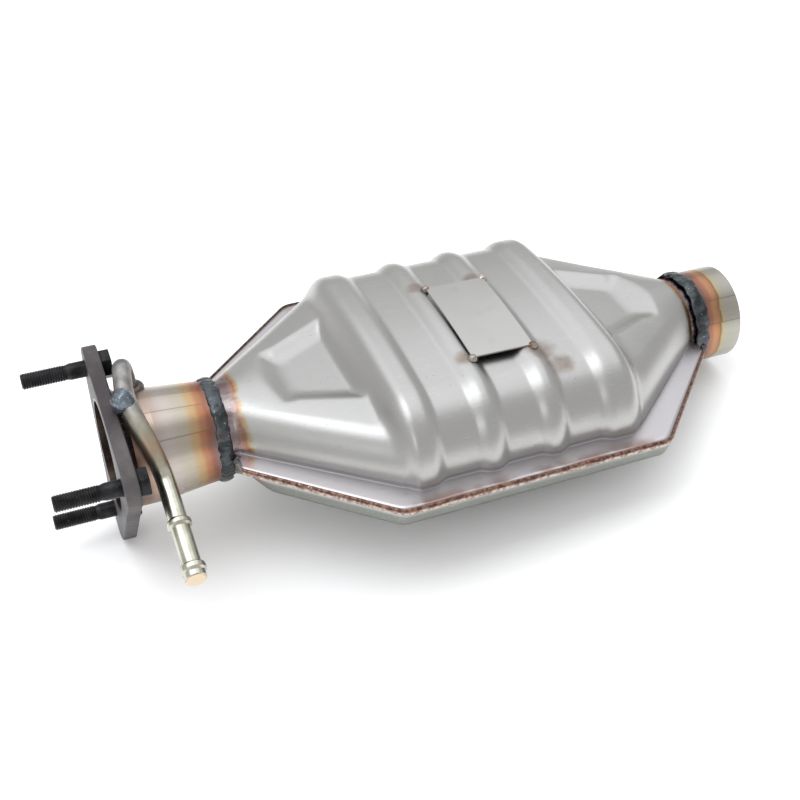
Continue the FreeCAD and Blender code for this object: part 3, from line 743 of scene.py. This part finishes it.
def makePipeSteel(name, pipe):   # heat tints in bands along the pipe, drawn seams and fine lines
    finish = Finish(name)
    x, y, z = finish.axes()
    angle = z.turn(y * -1.0)
    ragged = finish.cloud(55.0, 5.0, 0.6, finish.stretched((0.4, 1.0, 1.0))) - 0.5
    step = angle.fade(pipe["seams"][1] - 0.01, pipe["seams"][1] + 0.01)
    step = step + angle.fade(pipe["seams"][0] - 0.01, pipe["seams"][0] + 0.01)
    low, high = pipe["span"]
    along = x + ragged * (6.5 * mm) - step * (0.8 * mm)
    share = (along - low * mm) / ((high - low) * mm)
    stops = [((at - low) / (high - low), tone(*colour)) for at, colour in pipe["tints"]]
    colour = finish.ramp(share, stops, "EASE")
    for seam in pipe["seams"]:
        line = angle.band(seam, 0.004, 0.018)
        colour = finish.blend(line * 0.55, colour, tone(*pipes["seamTone"]))
    drawn = finish.cloud(90.0, 3.0, vector=finish.stretched((0.06, 1.6, 1.6)))
    colour = finish.blend((drawn - 0.5) * 0.7 + 0.25, colour, tone(*pipes["drawnTone"]))
    pits = finish.cells(150.0).fade(0.12, 0.05) * finish.cloud(40.0).fade(0.56, 0.64)
    colour = finish.blend(pits * 0.8, colour, tone(*pipes["pitTone"]))
    colour, roughness, fine = steelGrain(finish, colour, pipe["rough"])
    bump = finish.bump(drawn * 0.6 + fine * 0.3, 0.05 * mm, 0.5)
    return finish.close(base=colour, rough=roughness, metal=1.0, normal=bump)


weldSteels = {      # depth is the height of the bumps in millimetres
    "ringBead": {"cool": (70, 75, 78), "warm": (92, 78, 74), "warmShare": 0.1,
                 "rough": 0.3, "depth": 0.5},
    "smallBead": {"cool": (92, 88, 90), "warm": (110, 84, 70), "warmShare": 0.4,
                  "rough": 0.34, "depth": 0.5},
    "blobSteel": {"cool": (84, 82, 84), "warm": (104, 76, 64), "warmShare": 0.3,
                  "rough": 0.2, "depth": 0.5},
    "tackBead": {"cool": (104, 112, 120), "warm": (92, 88, 88), "warmShare": 0.1,
                 "rough": 0.28, "depth": 0.25},
    "plateTack": {"cool": (158, 150, 144), "warm": (112, 88, 72), "warmShare": 0.4,
                  "rough": 0.26, "depth": 0.3},
}
glintTone = (210, 206, 204)


def makeBeadSteel(name, cool, warm, warmShare, rough, depth):   # lumpy, with scale and glints
    finish = Finish(name)
    patches = finish.cloud(130.0, 4.0)
    grit = finish.cloud(700.0, 4.0)
    scales = finish.cells(420.0)
    dark, light = varied(tone(*cool), 0.45)
    colour = finish.blend(patches.fade(0.35, 0.65), dark, light)
    turned = finish.stretched((1.0, 1.0, 1.0), (1.1, 0.3, 0))     # apart from the patches
    rusty = finish.cloud(75.0, 5.0, 0.6, turned)
    onset = 0.62 - warmShare * 0.3
    colour = finish.blend(rusty.fade(onset, onset + 0.1), colour, tone(*warm))
    glints = scales.fade(0.2, 0.1) * grit.fade(0.52, 0.62)
    colour = finish.blend(glints * 0.7, colour, tone(*glintTone))
    roughness = (grit - 0.5) * 0.5 + rough
    bump = finish.bump(patches * 0.5 + grit * 0.35 + scales * 0.3, depth * mm, 0.8)
    return finish.close(base=colour, rough=roughness, metal=0.85, normal=bump)


seamTones = {"pale": ((150, 128, 118), (206, 194, 186)), "brown": ((92, 68, 60), (142, 112, 98)),
             "glint": (236, 226, 218)}


def makeSeamSteel():   # brown along its upper side, pale and glittering below
    finish = Finish("seamBead")
    x, _, z = finish.axes()
    grit = finish.cloud(520.0, 4.0)
    wave = finish.cloud(110.0, 4.0) - 0.5
    scales = finish.cells(600.0)
    upper = (z + wave * (1.6 * mm)).fade(-0.3 * mm, 0.9 * mm)
    slant = x.fade(258 * mm, 263 * mm)      # past the corner towards the outlet
    pale = finish.between(grit.fade(0.4, 0.6), seamTones["pale"])
    brown = finish.between(grit.fade(0.4, 0.6), seamTones["brown"])
    colour = finish.blend(upper.larger(slant * 0.8), pale, brown)
    glints = scales.fade(0.22, 0.1) * wave.fade(0.0, 0.12)
    colour = finish.blend(glints * 0.8, colour, tone(*seamTones["glint"]))
    bump = finish.bump(grit * 0.5 + wave + scales * 0.4, 0.35 * mm, 0.8)
    return finish.close(base=colour, rough=(grit - 0.5) * 0.4 + 0.34, metal=0.9, normal=bump)


def plainFinish(name, colour, rough, metal=1.0):   # one cloudy colour with a fine grain
    finish = Finish(name)
    cloud = finish.cloud(60.0, 4.0)
    fine = finish.cloud(900.0, 3.0)
    dark, light = varied(tone(*colour), 0.25)
    shade = cloud * 0.6 + fine * 0.4
    bump = finish.bump(fine, 0.05 * mm, 0.6)
    return finish.close(base=finish.blend(shade, dark, light), metal=metal,
                        rough=(fine - 0.5) * 0.2 + rough, normal=bump)


flangeTones = {"scale": ((74, 68, 70), (98, 94, 94)), "rust": (108, 78, 62),
               "face": (120, 120, 122)}


def makeFlangeSteel():   # dark scale with rusty patches, its open face a little brighter
    finish = Finish("flangeSteel")
    x = finish.axes()[0]
    cloud = finish.cloud(45.0, 5.0)
    grit = finish.cloud(420.0, 4.0)
    colour = finish.between(cloud.fade(0.35, 0.65), flangeTones["scale"])
    rusty = finish.cloud(90.0, 5.0, 0.65).fade(0.60, 0.72)
    colour = finish.blend(rusty * 0.5, colour, tone(*flangeTones["rust"]))
    face = x.fade(0.5 * mm, 0.1 * mm)
    colour = finish.blend(face * 0.4, colour, tone(*flangeTones["face"]))
    bump = finish.bump(grit * 0.6 + cloud * 0.4, 0.15 * mm, 0.7)
    return finish.close(base=colour, rough=(grit - 0.5) * 0.3 + 0.52, metal=0.7, normal=bump)


boltTones = {"black": ((24, 24, 25), (50, 50, 52)), "worn": (96, 92, 88)}


def makeBoltSteel():   # blackened, with specks worn through
    finish = Finish("blackSteel")
    cloud = finish.cloud(160.0, 4.0)
    grit = finish.cloud(800.0, 3.0)
    colour = finish.between(cloud.fade(0.3, 0.7), boltTones["black"])
    colour = finish.blend(grit.fade(0.62, 0.72) * 0.5, colour, tone(*boltTones["worn"]))
    bump = finish.bump(grit, 0.06 * mm, 0.6)
    return finish.close(base=colour, rough=(grit - 0.5) * 0.25 + 0.38, metal=0.75, normal=bump)


tubeTones = {"heated": ((124, 123, 122), (170, 166, 162)), "yellowed": (176, 170, 148),
             "zinc": ((186, 184, 168), (208, 206, 192)), "burnt": (186, 150, 124)}


def makeTubeSteel():   # dull where it was heated, yellow zinc on the run to the hose end
    finish = Finish("zincSteel")
    y = finish.axes()[1]
    cloud = finish.cloud(120.0, 4.0)
    fine = finish.cloud(700.0, 3.0)
    ragged = (cloud - 0.5) * (14 * mm)
    out = y * -1.0 + ragged * 0.4
    zinc = out.fade(31 * mm, 37 * mm)
    burnt = out.band(29 * mm, 1 * mm, 6 * mm)
    heated = finish.between(cloud.fade(0.3, 0.7), tubeTones["heated"])
    yellowed = out.fade(10 * mm, 26 * mm)
    heated = finish.blend(yellowed * 0.7, heated, tone(*tubeTones["yellowed"]))
    bright = finish.between(cloud.fade(0.3, 0.7), tubeTones["zinc"])
    colour = finish.blend(zinc, heated, bright)
    colour = finish.blend(burnt * 0.55, colour, tone(*tubeTones["burnt"]))
    roughness = 0.45 - zinc * 0.21
    bump = finish.bump(fine * (1.0 - zinc * 0.8), 0.06 * mm, 0.6)
    return finish.close(base=colour, rough=roughness, metal=1.0, normal=bump)


plateTones = {"steel": (188, 187, 184), "smear": (168, 156, 142)}


def makePlateSteel():   # brushed, with faint smears
    finish = Finish("brushedPlate")
    lines = finish.cloud(60.0, 3.0, vector=finish.stretched((1.0, 40.0, 1.0)))
    cloud = finish.cloud(40.0, 4.0)
    dark, light = varied(tone(*plateTones["steel"]), 0.12)
    colour = finish.blend(lines * 0.4 + cloud * 0.6, dark, light)
    smear = finish.cloud(70.0, 5.0, 0.6).fade(0.56, 0.74)
    colour = finish.blend(smear * 0.25, colour, tone(*plateTones["smear"]))
    bump = finish.bump(lines, 0.01 * mm, 0.5)
    return finish.close(base=colour, rough=(lines - 0.5) * 0.15 + 0.38, metal=1.0, normal=bump)


def dress(piece, material):   # one material all over
    mesh = piece.data
    if len(mesh.materials) == 0:
        mesh.materials.append(material)
    for i in range(len(mesh.materials)):
        mesh.materials[i] = material


shellSteel = makeShellSteel()
seamSteel = makeSeamSteel()
sealSteel = plainFinish("sealMesh", (140, 138, 135), 0.6)
beadSteels = {name: makeBeadSteel(name, **values) for name, values in weldSteels.items()}
for piece in [upperShell, lowerShell] + lips:
    dress(piece, shellSteel)
for piece in beadPieces:
    dress(piece, beadSteels["ringBead"])
dress(weldBlobs, beadSteels["blobSteel"])
dress(tackPiece, beadSteels["tackBead"])
dress(boltPiece, makeBoltSteel())
dress(tubePiece, makeTubeSteel())
dress(plugPiece, plainFinish("plugFinish", (216, 196, 168), 0.55, 0.1))
finishes = {        # the parts that keep their own form
    "inlet_pipe": makePipeSteel("inletPipeSteel", pipes["inlet"]),
    "outlet_pipe": makePipeSteel("outletPipeSteel", pipes["outlet"]),
    "inlet_flange": makeFlangeSteel(),
    "flange_pipe_weld": beadSteels["smallBead"],
    "sampling_tube_weld": beadSteels["smallBead"],
    "seam_weld_near": seamSteel,
    "seam_weld_far": seamSteel,
    "ceramic_brick": plainFinish("ceramic", (190, 180, 165), 0.9, 0.0),
    "support_mat": plainFinish("matFibre", (200, 195, 185), 0.9, 0.0),
    "inlet_end_seal": sealSteel,
    "outlet_end_seal": sealSteel,
    "data_plate": makePlateSteel(),
    "plate_tack_welds": beadSteels["plateTack"],
}
for name, material in finishes.items():
    dress(nodes[name], material)
print("finishes made")

# floor, light and camera
stand = {
    "flangeFoot": (3.5, 10.8, -60.8), "ribFoot": (236.4, 0.0, -40.0),   # what the floor touches
    "size": 6000.0, "levels": (0.90, 0.92), "rough": 0.6, "specular": 0.2,
}


def makeFloor():   # a pale plane under the flange and the last rib, on which the part lies
    low, high = stand["flangeFoot"], stand["ribFoot"]
    pitch = atan2(high[2] - low[2], high[0] - low[0])
    bm = bmesh.new()
    bmesh.ops.create_grid(bm, x_segments=1, y_segments=1, size=stand["size"] / 2 * mm)
    turn = Matrix.Rotation(-pitch, 4, "Y")
    middle = Vector(((low[0] + high[0]) / 2, 0, (low[2] + high[2]) / 2)) * mm
    bmesh.ops.transform(bm, matrix=Matrix.Translation(middle) @ turn, verts=bm.verts)
    mesh = bpy.data.meshes.new("floor")
    bm.to_mesh(mesh)
    bm.free()
    floor = bpy.data.objects.new("floor", mesh)
    scene.collection.objects.link(floor)
    finish = Finish("paleFloor")
    dark, light = [(level, level, level, 1) for level in stand["levels"]]
    colour = finish.blend(finish.cloud(200.0), dark, light)
    surface = finish.close(base=colour, rough=stand["rough"], specular=stand["specular"])
    mesh.materials.append(surface)


lamps = {       # place and size in metres, power in watts
    "overhead": {"place": (0.19, 0.5, 1.5), "size": (2.6, 2.1), "power": 13.5},
    "left": {"place": (-0.35, 0.05, 1.1), "size": (0.6, 1.2), "power": 3.3},
    "front": {"place": (-0.8, -1.0, 0.8), "size": (0.5, 0.5), "power": 1.1},
}
lampAim = (0.19, 0.0, 0.0)
lampTone = (0.93, 0.96, 1.0)


def makeLamp(name, place, size, power):
    lamp = bpy.data.lights.new(name, "AREA")
    lamp.shape = "RECTANGLE"
    lamp.size, lamp.size_y = size
    lamp.energy = power
    lamp.color = lampTone
    holder = bpy.data.objects.new(name, lamp)
    holder.location = place
    away = Vector(lampAim) - Vector(place)
    holder.rotation_euler = away.to_track_quat("-Z", "Y").to_euler()
    scene.collection.objects.link(holder)


makeFloor()
for name, values in lamps.items():
    makeLamp(name, **values)

world = bpy.data.worlds.new("room")
scene.world = world
world.use_nodes = True
tree = world.node_tree
tree.nodes.clear()
rays = tree.nodes.new("ShaderNodeLightPath")
room = {"open": 1.5, "mirrored": 0.84, "seen": 1.0}    # strength by kind of ray


def fadeInWorld(kind, below, above):   # above for rays of one kind, below for the others
    made = tree.nodes.new("ShaderNodeMapRange")
    tree.links.new(rays.outputs[kind], made.inputs["Value"])
    for name, value in (("To Min", below), ("To Max", above)):
        if isinstance(value, float):
            made.inputs[name].default_value = value
        else:
            tree.links.new(value, made.inputs[name])
    return made.outputs[0]


strength = fadeInWorld("Is Glossy Ray", room["open"], room["mirrored"])
strength = fadeInWorld("Is Transmission Ray", strength, room["seen"])
strength = fadeInWorld("Is Camera Ray", strength, room["seen"])
sky = tree.nodes.new("ShaderNodeBackground")
tree.links.new(strength, sky.inputs["Strength"])
out = tree.nodes.new("ShaderNodeOutputWorld")
tree.links.new(sky.outputs[0], out.inputs["Surface"])

# turn in degrees, clip in metres
view = {"place": (-41.466, -469.686, 386.285), "turn": (52.055, -0.514, -22.034),
        "lens": 55.254, "sensor": 36.0, "clip": (0.01, 20.0)}
cameraData = bpy.data.cameras.new("camera")
cameraData.lens = view["lens"]
cameraData.sensor_width = view["sensor"]
cameraData.clip_start, cameraData.clip_end = view["clip"]
camera = bpy.data.objects.new("camera", cameraData)
camera.location = Vector(view["place"]) * mm
camera.rotation_euler = [radians(angle) for angle in view["turn"]]
scene.collection.objects.link(camera)
scene.camera = camera

scene.view_settings.view_transform = "Standard"
print("stage set")
